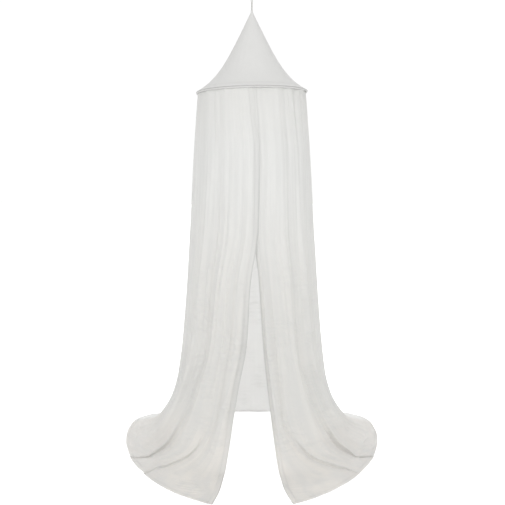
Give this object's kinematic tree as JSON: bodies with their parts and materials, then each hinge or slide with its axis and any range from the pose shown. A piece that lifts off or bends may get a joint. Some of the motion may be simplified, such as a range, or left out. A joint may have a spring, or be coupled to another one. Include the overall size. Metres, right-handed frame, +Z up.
{
  "type": "bed canopy with hoop",
  "caption": "Ceiling-hung bed canopy: a cord loop, a pointed cloth top, a round hoop in a cloth casing and a long skirt, slit down the front, that spreads on the floor.",
  "frame": {"origin": "inner top of the cord loop, where a ceiling hook bears", "axes": "+Z up; the slit in the skirt faces -Y; +X is on the right as seen from the front"},
  "size_m": [1.2006, 1.1357, 2.0698],
  "materials": {
    "gauze": "washed ivory cotton gauze, finely crinkled, slightly sheer",
    "top_cotton": "taut ivory cotton, plain weave",
    "casing_cotton": "ivory cotton strip, sewn round the hoop",
    "hoop_rod": "white plastic rod",
    "cord": "twisted cotton cord"
  },
  "bodies": {
    "root": {"hanging_cord": "cord", "pointed_top": "top_cotton", "hoop": "hoop_rod", "hoop_casing": "casing_cotton", "skirt": "gauze"}
  },
  "joints": []
}
